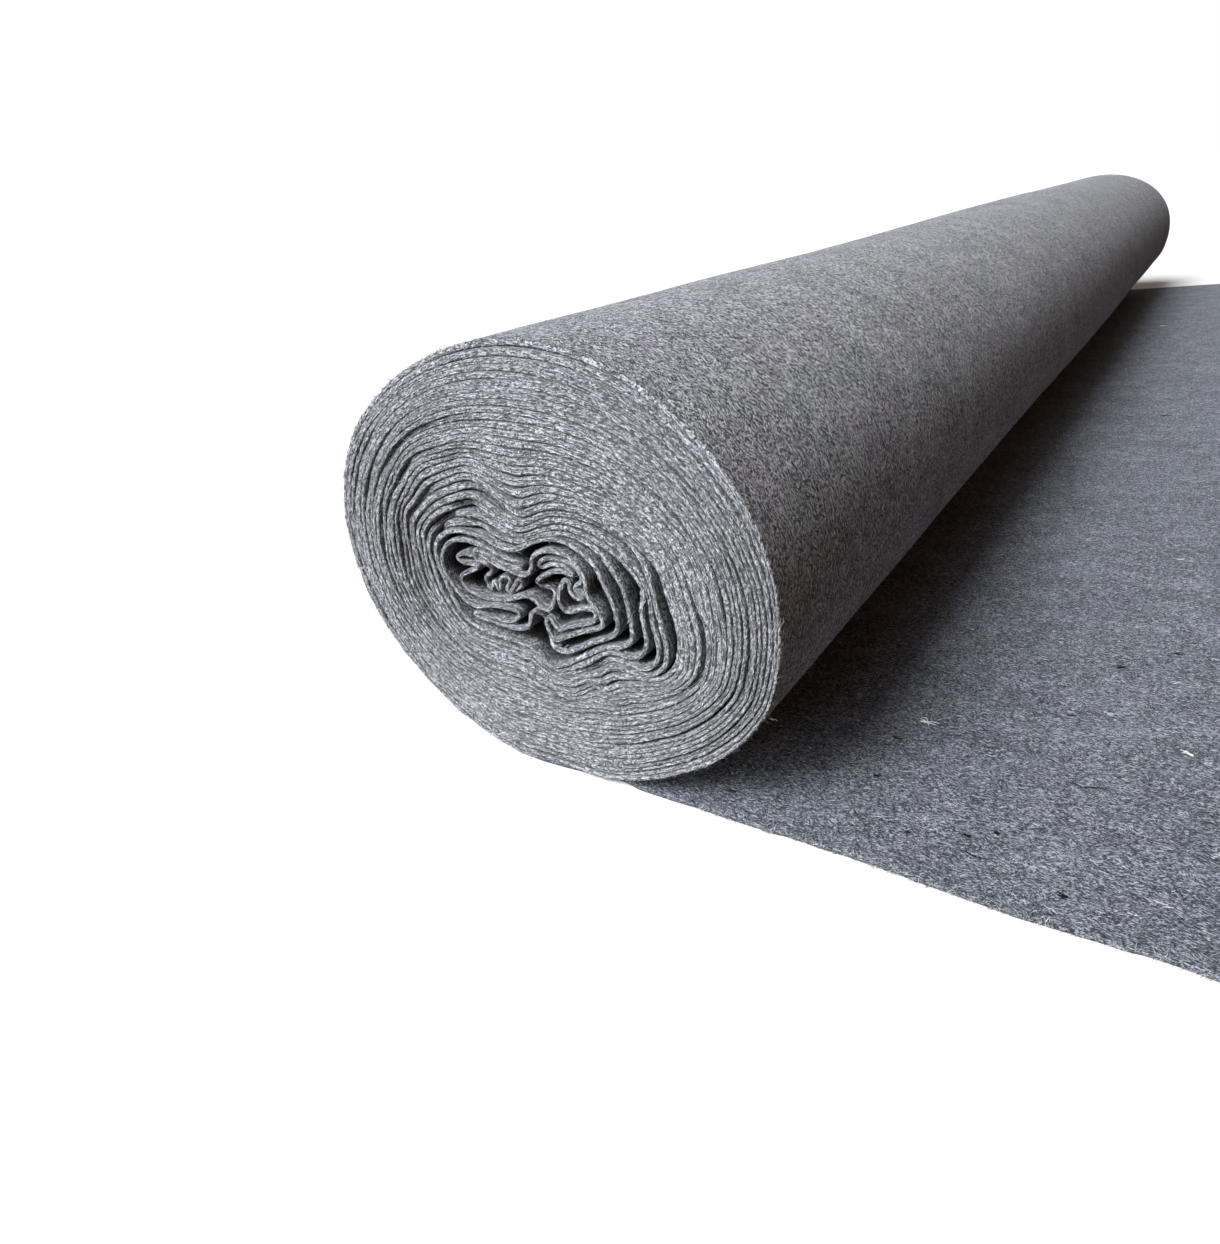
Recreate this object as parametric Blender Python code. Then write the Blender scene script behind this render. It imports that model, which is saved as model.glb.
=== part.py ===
"""A roll of grey needle-punched geotextile felt, two metres wide, lying on its side.

One length of cloth is wound some thirty times on itself, with no tube inside. Its weight
presses the roll into a wide oval with a small flat at the bottom. The last of the length
runs flat under the roll and out to +X on the floor. The origin is on the floor under the
roll's axis, at the middle of the cloth's width. +Y runs along the roll, and its near end
is at -Y.
"""
import math

import bmesh
import bpy
import numpy as np

MM = 0.001

# Driving dimensions
CLOTH_WIDTH = 2.0
ROLL_WIDE = 0.293
ROLL_HIGH = 0.246
CLOTH_THICK = 3.0 * MM
GAP = 0.3 * MM
LOOSE_END_X = 0.450

# The outer turn comes down to the floor here and runs on to +X as the loose end
STEP_X = -0.020
STEP_RUN = 1.0 * MM

# The lower half of the oval is cut off by the floor, which leaves the small flat
AXIS_Z = ROLL_HIGH / 2
HALF_WIDE = ROLL_WIDE / 2
HALF_HIGH = ROLL_HIGH / 2
HALF_LOW = HALF_HIGH + 2.5 * MM

COLUMNS = 66
SECTIONS = 8
WAVE_HIGH = 1.2 * MM
WAVE_LONG = 0.85

# The hollow in the middle of the near end, where the first turns are crushed into two lobes
CORE_CENTRE = (-2.0, 112.0)
CORE_OVAL = (58.0, 29.0)
CORE_GRIP = 2.0
CORE_DEPTH = 26.0 * MM
FAR_CORE_DEPTH = 12.0 * MM
CORE_FLOOR_SCALE = 0.96
CORE_RING = (
    # x, z in mm, clockwise from the bottom
    (-6, 93), (-25, 92), (-45, 93), (-56, 104), (-63, 118), (-61, 135), (-50, 141), (-32, 137),
    (-14, 131), (3, 125), (10, 129), (18, 139), (31, 140), (40, 132), (43, 119), (49, 110),
    (48, 100), (36, 95), (27, 88), (16, 82), (9, 86), (3, 96),
)

# Main turns of each end, from the rim inward: each stands back a little, and a groove parts it
# from the next
NEAR_TURNS = (
    # share of the way in, recess in mm, angle of the deepest place in degrees
    (0.05, 1.5, 200.0),
    (0.09, 0.4, 90.0),
    (0.10, 1.2, 120.0),
    (0.11, 2.6, 150.0),
    (0.10, 1.8, 20.0),
    (0.11, 1.0, 20.0),
    (0.11, 3.4, 120.0),
    (0.11, 2.4, 240.0),
    (0.11, 3.8, 300.0),
    (0.11, 5.2, 60.0),
)
FAR_TURNS = (
    (0.30, 0.5, 40.0),
    (0.35, 2.5, 170.0),
    (0.35, 1.2, 300.0),
)
GROOVE_WIDE = 0.016
GROOVE_DEEP = 2.5 * MM

# Places where the turns are pushed out of the oval, fading at the rim and at the hollow
DENT_RISE = 9.0
DENTS = (
    # x, z, push in x, push in z, reach, all in mm
    (-26, 168, 0, 6, 17),
    (0, 162, 0, -7, 16),
    (96, 128, -5, 0, 16),
    (8, 66, 0, -4, 16),
    (82, 92, 4, -3, 15),
)

# Strands of the crushed cloth in the hollow: x and z in mm along each fold
FOLD_FRONT = 4.0 * MM
FOLDS = (
    # a long strand that curls in the left lobe, crosses the waist and loops in the right
    ((-50, 144), (-40, 137), (-32, 134), (-31, 128), (-42, 125), (-50, 119), (-50, 110),
     (-38, 105), (-20, 103), (-2, 105), (5, 102), (7, 91), (13, 85), (20, 84), (27, 91),
     (40, 97), (54, 103)),
    # a flat fold in the left lobe
    ((-66, 124), (-56, 127), (-48, 130), (-41, 131), (-37, 128)),
    # the hooked end of the first turn, low in the left lobe
    ((-52, 90), (-40, 96), (-24, 97), (-13, 96), (-9, 99)),
    # a short double fold at the waist
    ((-24, 138), (-22, 130), (-14, 123), (-17, 115), (-12, 113), (-7, 122), (2, 131)),
    # the right lobe's inner strand
    ((14, 131), (24, 133), (31, 127), (31, 117), (24, 110), (15, 109), (12, 115)),
)
FOLD_STEP = 3.4 * MM

# The loose end's two long edges wander a little
EDGE_WANDER = 1.4 * MM
LOOSE_SEGMENTS_X = 22
LOOSE_SEGMENTS_Y = 10

FELT_COLOUR = (0.28, 0.29, 0.31, 1.0)


def clear_scene():
    for thing in list(bpy.data.objects):
        bpy.data.objects.remove(thing, do_unlink=True)


def felt_material(name):
    material = bpy.data.materials.new(name)
    material.use_nodes = True
    shader = material.node_tree.nodes["Principled BSDF"]
    shader.inputs["Base Color"].default_value = FELT_COLOUR
    shader.inputs["Roughness"].default_value = 0.95
    shader.inputs["Metallic"].default_value = 0.0
    return material


def smooth_through(points, closed, count):
    """Points spread evenly along a Catmull-Rom curve through the given ones."""
    points = np.array(points, float)
    if closed:
        padded = np.vstack([points[-1:], points, points[:2]])
    else:
        padded = np.vstack([2 * points[0] - points[1], points, 2 * points[-1] - points[-2]])
    t = np.linspace(0, 1, 16, endpoint=False)[:, None]
    dense = []
    for i in range(len(padded) - 3):
        a, b, c, d = padded[i:i + 4]
        dense.append(0.5 * (2 * b + (c - a) * t + (2 * a - 5 * b + 4 * c - d) * t ** 2
                            + (3 * b - a - 3 * c + d) * t ** 3))
    dense = np.vstack(dense + [padded[-2:-1]])
    along = np.concatenate([[0], np.cumsum(np.linalg.norm(np.diff(dense, axis=0), axis=1))])
    at = np.linspace(0, along[-1], count, endpoint=not closed)
    return np.column_stack([np.interp(at, along, dense[:, k]) for k in (0, 1)])


def column_angles():
    """Clockwise from where the cloth leaves the floor, round to where it comes back to it."""
    start = math.atan2(-AXIS_Z, STEP_X)
    end = math.atan2(CLOTH_THICK + GAP - AXIS_Z, STEP_X + STEP_RUN)
    turn = 2 * math.pi - (end - start)
    return [start - turn * i / (COLUMNS - 1) for i in range(COLUMNS)]


def rim_point(column, angle):
    """The oval's outline, cut off by the floor and by the loose end lying on it."""
    across, up = math.cos(angle), math.sin(angle)
    half_high = HALF_HIGH if up > 0 else HALF_LOW
    radius = 1 / math.hypot(across / HALF_WIDE, up / half_high)
    on_loose_end = column > COLUMNS / 2
    floor = CLOTH_THICK + GAP if on_loose_end else 0.0
    if AXIS_Z + radius * up < floor:
        radius = (floor - AXIS_Z) / up
    return np.array([radius * across, AXIS_Z + radius * up])


def dented(point, strength):
    """Push a point of the cross-section by the dents near it."""
    moved = point.copy()
    for x, z, push_x, push_z, reach in DENTS:
        away = np.hypot(*(point - np.array([x, z]) * MM)) / (reach * MM)
        moved += np.array([push_x, push_z]) * MM * strength * math.exp(-away ** 2)
    return moved


def section_ring(level):
    """The closed line of the turn at this level: 0 is the rim and 1 the hollow's edge."""
    angles = np.array(column_angles())
    rim = np.array([rim_point(i, angle) for i, angle in enumerate(angles)])
    oval = np.array(CORE_CENTRE) + np.column_stack([np.cos(angles), np.sin(angles)]) * CORE_OVAL
    core = smooth_through(CORE_RING, True, COLUMNS)
    mixed = rim * (1 - level) + (oval * level + (core - oval) * level ** CORE_GRIP) * MM
    strength = min(1.0, DENT_RISE * level * (1 - level))
    return np.array([dented(point, strength) for point in mixed])


def waved(ring, y):
    """A slow unevenness along the roll, which fades towards the flat underneath."""
    centre = np.array([0, AXIS_Z])
    arms = ring - centre
    reach = np.hypot(*arms.T)
    angles = np.arctan2(arms[:, 1], arms[:, 0])
    high = np.clip(ring[:, 1] / AXIS_Z - 0.5, 0, 1)
    wave = np.sin(2 * math.pi * y / WAVE_LONG + 2 * angles) - 1
    return centre + arms * (1 + WAVE_HIGH * wave * high / reach)[:, None]


def end_rings(turns, y, inward):
    """Rings of one end, from the rim to the hollow: pairs of a section and its depths."""
    angles = np.array(column_angles())
    rings = []
    level = 0.0
    for share, recess, deepest in turns:
        depth = recess * MM * (0.7 + 0.3 * np.cos(angles - math.radians(deepest)))
        first = level + (GROOVE_WIDE / 2 if level > 0 else 0)
        level = round(level + share, 3)
        last = level - (GROOVE_WIDE / 2 if level < 1 else 0)
        rings.append((section_ring(first), y + inward * depth))
        rings.append((section_ring(last), y + inward * depth))
        if level < 1:
            rings.append((section_ring(level), y + inward * (depth + GROOVE_DEEP)))
    return rings


def add_ring(bm, edges, column_layer, ring, ys):
    """Extrude an open loop of edges and put the new vertices on the next ring."""
    made = bmesh.ops.extrude_edge_only(bm, edges=edges)["geom"]
    for vert in made:
        if isinstance(vert, bmesh.types.BMVert):
            column = vert[column_layer]
            vert.co = (ring[column][0], ys[column], ring[column][1])
    return [edge for edge in made if isinstance(edge, bmesh.types.BMEdge)]


def first_ring(bm, column_layer, ring, ys):
    verts = []
    for column in range(COLUMNS):
        vert = bm.verts.new((ring[column][0], ys[column], ring[column][1]))
        vert[column_layer] = column
        verts.append(vert)
    return [bm.edges.new((verts[i - 1], verts[i])) for i in range(COLUMNS)]


def hollow_floor(bm, edges, column_layer, ring, y, depth):
    """The hollow's wall and its floor, as a fan round the core's centre."""
    centre = np.array(CORE_CENTRE) * MM
    shrunk = centre + (ring - centre) * CORE_FLOOR_SCALE
    edges = add_ring(bm, edges, column_layer, shrunk, np.full(COLUMNS, y + depth))
    made = bmesh.ops.extrude_edge_only(bm, edges=edges)["geom"]
    tips = [vert for vert in made if isinstance(vert, bmesh.types.BMVert)]
    bmesh.ops.pointmerge(bm, verts=tips, merge_co=(centre[0], y + depth, centre[1]))


def new_object(name, bm, material):
    bmesh.ops.recalc_face_normals(bm, faces=bm.faces)
    mesh = bpy.data.meshes.new(name)
    bm.to_mesh(mesh)
    bm.free()
    mesh.materials.append(material)
    thing = bpy.data.objects.new(name, mesh)
    bpy.context.scene.collection.objects.link(thing)
    return thing


def wound_solid(material):
    """The wound cloth: far hollow, far end, side, near end and near hollow in one skin."""
    bm = bmesh.new()
    column_layer = bm.verts.layers.int.new("column")
    near_y, far_y = -CLOTH_WIDTH / 2, CLOTH_WIDTH / 2
    rim = section_ring(0)

    far = end_rings(FAR_TURNS, far_y, -1)
    near = end_rings(NEAR_TURNS, near_y, 1)
    side_ys = np.linspace(far_y, near_y, SECTIONS)[1:-1]
    side = [(waved(rim, y), np.full(COLUMNS, y)) for y in side_ys]
    rings = far[::-1] + side + near

    edges = start = first_ring(bm, column_layer, *rings[0])
    for ring, ys in rings[1:]:
        edges = add_ring(bm, edges, column_layer, ring, ys)
    hollow_floor(bm, edges, column_layer, near[-1][0], near_y, CORE_DEPTH)
    hollow_floor(bm, start, column_layer, far[-1][0], far_y, -FAR_CORE_DEPTH)
    return new_object("roll", bm, material)


def fold_solid(name, points, material):
    """One strand of crushed cloth: a band as deep as the hollow, following the fold."""
    length = np.sum(np.linalg.norm(np.diff(np.array(points, float), axis=0), axis=1)) * MM
    line = smooth_through(points, False, int(length / FOLD_STEP)) * MM
    across = np.gradient(line, axis=0)
    across = np.column_stack([-across[:, 1], across[:, 0]])
    across *= (CLOTH_THICK / 2 / np.hypot(*across.T))[:, None]
    outline = np.vstack([line + across, (line - across)[::-1]])
    y = -CLOTH_WIDTH / 2 + FOLD_FRONT
    bm = bmesh.new()
    face = bm.faces.new([bm.verts.new((x, y, z)) for x, z in outline])
    made = bmesh.ops.extrude_face_region(bm, geom=[face])["geom"]
    moved = [vert for vert in made if isinstance(vert, bmesh.types.BMVert)]
    depth = CORE_DEPTH - FOLD_FRONT + CLOTH_THICK
    bmesh.ops.translate(bm, verts=moved, vec=(0, depth, 0))
    return new_object(name, bm, material)


def join_fold(roll, fold):
    fold.hide_render = True
    fold.display_type = "WIRE"
    union = roll.modifiers.new(fold.name, "BOOLEAN")
    union.operation = "UNION"
    union.solver = "EXACT"
    union.object = fold


def build_roll(material):
    roll = wound_solid(material)
    for i, points in enumerate(FOLDS):
        join_fold(roll, fold_solid("fold_%d" % (i + 1), points, material))
    roll.data.shade_smooth()
    roll.data.set_sharp_from_angle(angle=math.radians(40))
    return roll


def edge_wander(x):
    """How far a long edge of the loose end strays, in metres, at this place."""
    return EDGE_WANDER * (math.sin(x * 31) * 0.6 + math.sin(x * 74 + 1) * 0.4)


def build_loose_end(material):
    """The flat sheet from under the roll to the cut end."""
    start = STEP_X + STEP_RUN + GAP
    middle = (start + LOOSE_END_X) / 2
    half_long = (LOOSE_END_X - start) / 2
    bm = bmesh.new()
    bmesh.ops.create_grid(bm, x_segments=LOOSE_SEGMENTS_X, y_segments=LOOSE_SEGMENTS_Y, size=1)
    for vert in bm.verts:
        side = vert.co.y
        x = middle + vert.co.x * half_long
        y = side * (CLOTH_WIDTH / 2 - EDGE_WANDER) + side * abs(side) * edge_wander(x + side)
        vert.co = (x, y, 0)
    made = bmesh.ops.extrude_face_region(bm, geom=bm.faces[:])["geom"]
    top = [vert for vert in made if isinstance(vert, bmesh.types.BMVert)]
    bmesh.ops.translate(bm, verts=top, vec=(0, 0, CLOTH_THICK))
    return new_object("loose_end", bm, material)


clear_scene()
felt = felt_material("grey felt")
build_roll(felt)
build_loose_end(felt)
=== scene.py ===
import math

import bmesh
import bpy
import numpy as np
from mathutils import Matrix, Vector


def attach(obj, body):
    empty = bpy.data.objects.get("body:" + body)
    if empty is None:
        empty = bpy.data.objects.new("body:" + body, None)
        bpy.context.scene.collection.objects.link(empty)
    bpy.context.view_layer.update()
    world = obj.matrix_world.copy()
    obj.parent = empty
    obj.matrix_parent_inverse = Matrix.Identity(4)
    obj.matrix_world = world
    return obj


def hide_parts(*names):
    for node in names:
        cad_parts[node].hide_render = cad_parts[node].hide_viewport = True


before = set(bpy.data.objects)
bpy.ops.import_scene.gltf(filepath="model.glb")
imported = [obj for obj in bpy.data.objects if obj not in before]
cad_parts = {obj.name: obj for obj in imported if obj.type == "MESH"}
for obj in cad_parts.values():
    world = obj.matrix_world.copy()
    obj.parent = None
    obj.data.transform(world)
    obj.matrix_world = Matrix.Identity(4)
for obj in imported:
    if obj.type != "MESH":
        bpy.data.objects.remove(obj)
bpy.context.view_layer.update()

# A roll of grey geotextile felt, two metres wide, lying on its side. One length of cloth is
# wound on itself from a crushed core outward, and its last half metre lies flat on the floor.
# The near end is at -Y, and the loose end runs to +X.

MM = 0.001

# The cloth
CLOTH_WIDTH = 2.0
HALF_THICK = 1.6 * MM
LEAST_HALF_THICK = 0.85 * MM
LOOSENESS = (
    # turns in from the rim, and half the thickness up to which the felt swells there, in mm
    (0, 1.5), (0.1, 1.6), (1, 1.7), (2.5, 2.3), (16, 2.35), (20, 2.15), (24.5, 1.85), (25.6, 1.6),
    (26.1, 1.4), (28, 1.4),
)
LOOSE_PLACES = (
    # place round the roll, and how loosely the inner turns lie there
    (0, 0), (0.58, 0), (0.66, 1), (0.8, 1), (0.86, 0.2), (0.95, 0), (1, 0),
)
LOOSE_HALF = 1.55
LOOSE_TURNS = (19.0, 22.0)
LAYER_GAP = -0.10 * MM
LEAST_COVER = 0.3 * MM
LOOSE_END_X = 0.45
# The steps along the cloth of the outer, middle and inner turns, in mm
TURN_STEPS = (2.2, 1.3, 1.15)
OUTER_END = 1.03
WOUND_PIECES = (
    # name, first and last turn from the rim
    ("middle_turns_cloth", 1.02, 12.0), ("inner_turns_cloth", 11.99, 99.0),
)

# The oval of the outermost turn, in mm. The floor cuts off its lower half, which leaves the flat
AXIS_HIGH = 123.0
RIM_LEFT = 146.4
RIM_RIGHT = 147.0
RIM_UP = 123.2
RIM_DOWN = 124.3
FLOOR_LINE = 1.5
LIFT_X = -20.0
RIM_FORM = (
    # place round the roll, and how far the rim bulges out of the oval
    (0, 0), (0.72, 0), (0.75, 1), (0.775, 2.8), (0.8, 2), (0.83, 0.8), (0.86, -0.5), (0.9, 0), (1, 0),
)

# The turns go on inward until they meet the crushed core
FULL_TURNS = 26
LAST_TURN = 25.80
CORE_OVAL = (-3.0, 112.0, 62.0, 31.0)
CORE_GRIP = 2.7
CORE_RING = (
    # x, z in mm, clockwise from the bottom
    (-4, 83), (-13, 85.5), (-28, 86.3), (-41, 87), (-51, 91.5), (-58, 101), (-62.5, 112), (-65.5, 121),
    (-66.5, 130), (-63, 137.5), (-55, 142.5), (-44, 144), (-30, 142), (-17, 137.5), (-7, 137), (3, 142),
    (12, 146), (23, 147.5), (34, 144.5), (43, 137.5), (48, 127), (52, 117), (54, 109), (52.5, 102),
    (47.5, 97), (40, 93.5), (30, 88), (21, 81.5), (14, 76.5), (7, 73.5), (2, 77),
)
DENTS = (
    # x, z, push in x, push in z, reach, all in mm
    (-26, 172, 0, 6, 20), (0, 166, 0, -7, 18), (97, 128, -5, 0, 18), (82, 90, 2.5, -2.5, 13),
    (-62, 178, -2, 3, 18), (47, 82, 0, 4.5, 12), (72, 86, 0, -3.5, 11), (30, 52, 3, 3, 13),
    (20, 57, -1, -2.5, 7), (31, 60, 1, 2.5, 6), (42, 66, -1, -2, 6), (70, 128, 2.5, 0, 8),
    (76, 112, -2, 0, 8), (-20, 62, 0, 2, 9), (-90, 128, 2, 0, 12), (-84, 152, -2, 1, 10),
)
CROWDING = (
    # place round the roll from the bottom, clockwise, and how much closer the outer turns lie
    (0, 0), (0.22, 0.16), (0.36, 0.14), (0.5, 0.1), (0.62, 0.16), (0.7, 0.27), (0.78, 0.27), (0.86, 0.12),
    (0.92, 0.04), (1, 0),
)
CROWD_POWERS = (
    # place round the roll, and how few of the inner turns make up for it
    (0, 4.5), (0.56, 4.5), (0.66, 8), (0.8, 8), (0.9, 5), (1, 4.5),
)
UNEVEN_SPACING = (
    # place round the roll, and how unevenly the turns lie there, in turns
    (0, 0.26), (0.33, 0.26), (0.42, 0.1), (0.6, 0.1), (0.7, 0.24), (1, 0.26),
)

# The crushed core: the cloth's middle line from the last round turn inward, in mm, and how far
# back from the end its edge lies
CRUSHED = (
    # x, z, back
    (39, 92.5, 3), (31, 88.5, 3), (24, 84.5, 3), (18, 82, 3), (12, 82, 3.5), (8, 84.5, 3.5), (5.5, 89, 4),
    (4, 95, 3.5), (2.5, 100.5, 3), (-1, 104, 2.5), (-3.5, 101.5, 3), (-4.5, 96.5, 3), (-8.5, 92.5, 3),
    (-16, 90.5, 3), (-26, 90.5, 3), (-37, 92, 3), (-45.5, 93, 3), (-49.5, 95, 3), (-46, 96.5, 3.5),
    (-38, 95.5, 3.8), (-28, 94.5, 3.8), (-20, 94.5, 3.5), (-14, 97.5, 3), (-11, 101, 2.5), (-15, 103, 2.4),
    (-24, 103, 2.2), (-33, 102.5, 2.2), (-39, 101, 2.5), (-45, 100.2, 3), (-51, 101.5, 3), (-56, 105.5, 3),
    (-60.5, 111, 3), (-64, 118, 3), (-65.5, 125, 3), (-62.5, 132, 3), (-57, 138, 3), (-50, 140.7, 3.5),
    (-40, 141, 4), (-30, 139, 3.5), (-20, 135.5, 3), (-12, 132.8, 3), (-5.5, 130.8, 3), (-3.5, 129, 3),
    (-6, 128.3, 3.5), (-12, 129.5, 4), (-20, 131.8, 4), (-29, 135, 4), (-36, 137, 4.5), (-38.5, 135.8, 5),
    (-36, 133.6, 5), (-29, 131.8, 4), (-20, 128.6, 3.5), (-11, 126.5, 3), (-3, 125, 3), (1.5, 127, 3.5),
    (4, 132, 4), (6, 137, 3.5), (11.5, 140.5, 3), (19, 142, 3.5), (27, 141.5, 4), (33.5, 138.3, 4),
    (38, 132.5, 3), (40, 126, 2.5), (39.5, 120.5, 2.5), (42, 116, 2.5), (45.5, 111.5, 2.5),
    (47.5, 106.5, 2.5), (45, 102.5, 3), (38.5, 100, 3), (31, 97, 3.5), (24.5, 94.5, 3.5), (18, 91.3, 4),
    (13, 88.3, 4), (9.8, 89.5, 4), (8, 94, 4), (7.5, 99.5, 4), (9.5, 103, 4), (12.5, 101.5, 4),
    (13.8, 98, 4), (16, 96, 3.5), (19.5, 97, 3.5), (23, 99.2, 3.5), (30, 101.5, 4), (37.5, 103.5, 3.5),
    (42.5, 106.5, 3), (43.5, 110, 3), (41, 112.5, 3.5), (35, 111.5, 4), (29, 109.5, 4.5), (24, 107, 4),
    (20.5, 108, 3.5), (19, 112, 3.5), (19.5, 117, 3.5), (21, 121.5, 4), (23, 125, 5), (25, 127.6, 5.5),
    (27.8, 126.3, 5.5), (27.5, 121.5, 5.5), (29, 118, 5), (33, 117, 4.5), (37, 118.3, 4), (37.4, 120.6, 4),
    (33.7, 121, 4), (30.8, 122, 4), (31, 124.5, 4.5), (34.5, 125.3, 4.5), (36.8, 127.3, 4.5),
    (36, 131, 4.5), (33, 134.8, 4.5), (27, 137, 4.5), (18, 137.8, 4), (11.5, 136, 3.5), (8.5, 133, 3.5),
    (10, 130.8, 4), (13, 132.6, 4), (18, 134.3, 4), (25, 134, 4), (30.5, 132, 4), (32, 129.6, 4),
    (29, 129.6, 4), (23.5, 131, 3.8), (17, 129.6, 3.5), (11.5, 127, 3), (7, 124.5, 3), (5.5, 122, 3.5),
    (9.5, 120.5, 5), (14.5, 121, 6), (17, 118.5, 6), (16, 115, 5), (14.5, 111, 4), (12.5, 107.5, 4),
    (9, 106.5, 4), (5, 108.5, 4), (1.5, 112, 4), (-4, 113.5, 4), (-12, 111, 4.5), (-22, 108, 4.5),
    (-33, 107, 4), (-42, 108, 3.5), (-49.5, 110.5, 3), (-53.5, 114, 2.5), (-52.5, 118, 2), (-47, 120.8, 2),
    (-41.5, 122.8, 2), (-37, 124.6, 2.5), (-38.5, 127, 3.5), (-44, 127, 3.5), (-50, 127.8, 3),
    (-52.5, 130, 3), (-49, 132.4, 3), (-42, 133, 3), (-35, 131, 3), (-29, 129, 3.5), (-26.5, 126.5, 4.5),
    (-28, 124, 5.5), (-32.5, 122, 6), (-35, 119.5, 6.5), (-33.5, 115, 6.5), (-31.5, 112, 6.5),
    (-30.5, 115, 7), (-30, 118.5, 7), (-28, 119.5, 7), (-27, 116, 6.5), (-26, 112, 6.5), (-24.5, 115, 6.5),
    (-24, 119, 6), (-21.5, 122, 5), (-17, 122.5, 4.5), (-15, 120.5, 4.5), (-17.5, 117, 4.5),
    (-21, 114, 4.5), (-19, 112.5, 4.5), (-15, 115, 4.5), (-12, 118.5, 4.5), (-9.5, 121.8, 4.5),
    (-7, 122.8, 4.5), (-6, 120.5, 5), (-8.5, 117.5, 5.5), (-12.5, 115.5, 6),
)
USUAL_BACK = 3.2
CORE_DEPTH = 1.5
CORE_TURN = 0.3
# The tables give each turn's place as it shows in the photograph's view of the end. What lies
# one mm further back seems to lie this many mm to the right and up, and is put back by as much
SEEN_SHIFT = (0.7, 0.6)
SEEN_PLANE = 1.0
STRAND_CLEAR = 2.1 * MM
SETTLE_STEP = 1.5 * MM
SETTLE_ROUNDS = 60
# In each round: the share of a lack of room that two strands give way by, the furthest that a
# strand moves, and how strongly it keeps straight and keeps its place
GIVE_WAY = 0.35
FURTHEST_MOVE = 0.5 * MM
KEEP_STRAIGHT = 0.12
KEEP_PLACE = 0.06
SPIRAL_POINTS = 12000
JOIN_POINTS = 120
WALL_LONG = 0.8
SAME_STRAND = 7 * MM

# How the turns' near ends stand, in mm: the whole winding bulges a little, single turns stray
END_PROFILE = (
    # turns in from the rim, and how far back the near end lies
    (0, -1.7), (1, -2.3), (3, -3.2), (5, -4), (8, -4.8), (11, -5.2), (13, -5), (16, -4), (18, -3.2),
    (20, -1.8), (22, 0), (24, 0.8), (25.8, 0.6), (40, 0.6),
)
LEAN_BACK = 9.0
LEANING = (
    # place round the roll, and its share of how far the rim leans back from the inner turns
    (0, 0.12), (0.1, 0.22), (0.2, 0.15), (0.26, 0.1), (0.3, 0.1), (0.33, 0.32), (0.36, 0.7), (0.38, 0.95),
    (0.4, 1.25), (0.45, 1.45), (0.5, 1.3), (0.55, 1.15), (0.6, 0.8), (0.64, 0.5), (0.72, 0.22), (0.8, 0.05),
    (0.9, 0), (1, 0.12),
)
RECESSES = (
    # ring, place round the roll, mm back, reach in rings, reach in places
    (0.6, 0.29, 2.5, 0.5, 0.02), (2.4, 0.19, 2.5, 0.5, 0.05), (1.6, 0.12, 2.2, 0.45, 0.04),
    (4, 0.31, 2, 0.5, 0.05), (7, 0.3, 2, 0.5, 0.06), (6, 0.75, 2, 0.45, 0.06), (9, 0.16, 2, 0.45, 0.05),
    (11, 0.63, 2.5, 0.5, 0.04), (11.5, 0.44, 3, 0.6, 0.05), (12, 0.23, 3.5, 0.5, 0.05),
    (15, 0.76, 4, 0.45, 0.05), (15.5, 0.62, 3, 0.6, 0.04), (15.6, 0.42, 3.5, 0.5, 0.03),
    (16, 0.95, 5, 0.7, 0.02), (19.6, 0.7, 5, 0.6, 0.06), (20, 0.46, 4, 0.5, 0.03), (22, 0.88, 5, 0.5, 0.04),
    (20, 0.74, 5, 0.45, 0.06), (22.5, 0.05, 3, 0.7, 0.04), (23, 0.69, 3, 0.45, 0.05),
    (21, 0.64, 5, 0.5, 0.04), (24, 0.1, 11, 0.4, 0.05), (24, 0.2, 11, 0.4, 0.06), (24, 0.29, 10, 0.4, 0.05),
    (23, 0.35, 7, 0.4, 0.03), (22, 0.405, 5, 0.4, 0.022), (24, 0.42, 3, 0.4, 0.025),
    (19, 0.33, 3, 0.4, 0.04), (17, 0.27, 2, 0.4, 0.05), (24, 0.62, 2, 0.45, 0.04),
    (14, 0.34, 2.5, 0.4, 0.05), (10, 0.36, 2.5, 0.4, 0.06), (25, 0.96, 6, 0.4, 0.03),
)
GROUP_BACK = (
    # turns in from the rim, and how far back a group of turns may stand there, in mm
    (0, 1.6), (14, 1.9), (20, 2.6),
)
SINGLE_BACK = 0.5
NEAR_BACK = 0.3

# The cut edges, across the thickness
NEAR_EDGE = (
    # mm in from the cut, and the side: -1 is the inner face, 1 the outer
    (0.95, -1), (0.42, -0.84), (0.07, -0.36), (0.1, 0), (0.07, 0.36), (0.42, 0.84), (0.95, 1),
)
FAR_EDGE = (
    # the same at the far end, the other way round
    (0.8, 1), (0, 0), (0.8, -1),
)
ROUNDING = (
    # place round the roll, and how strongly the cut edges are rounded there
    (0, 1.45), (0.2, 1.15), (0.3, 0.9), (0.4, 0.75), (0.5, 0.7), (0.58, 1), (0.66, 1.35), (0.85, 1.4),
    (1, 1.45),
)
RIM_ROUNDING = (
    # turns in from the rim, and how strongly the cut edge is rounded at least
    (0, 0.8), (0.9, 0.8), (1.3, 0),
)
PARTING = (
    # place round the roll, and how far the cut edge opens along its middle there, in mm
    (0, 0.15), (0.3, 0.15), (0.4, 0.6), (0.6, 0.7), (0.72, 0.6), (0.8, 0.3), (1, 0.15),
)
# How far the middle must open to get its full painted shade
PARTED_DARK = 0.8 * MM
# How rough the cut edges are: point by point, along the cloth and how long those waves are, the
# share of it across, along and up, and how far in it fades out
ROUGH = 0.20
ROUGH_ALONG = 0.22
ROUGH_WAVE = 3.0 * MM
ROUGH_WAYS = (0.6, 1.0, 0.6)
ROUGH_REACH = 4 * MM
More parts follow.
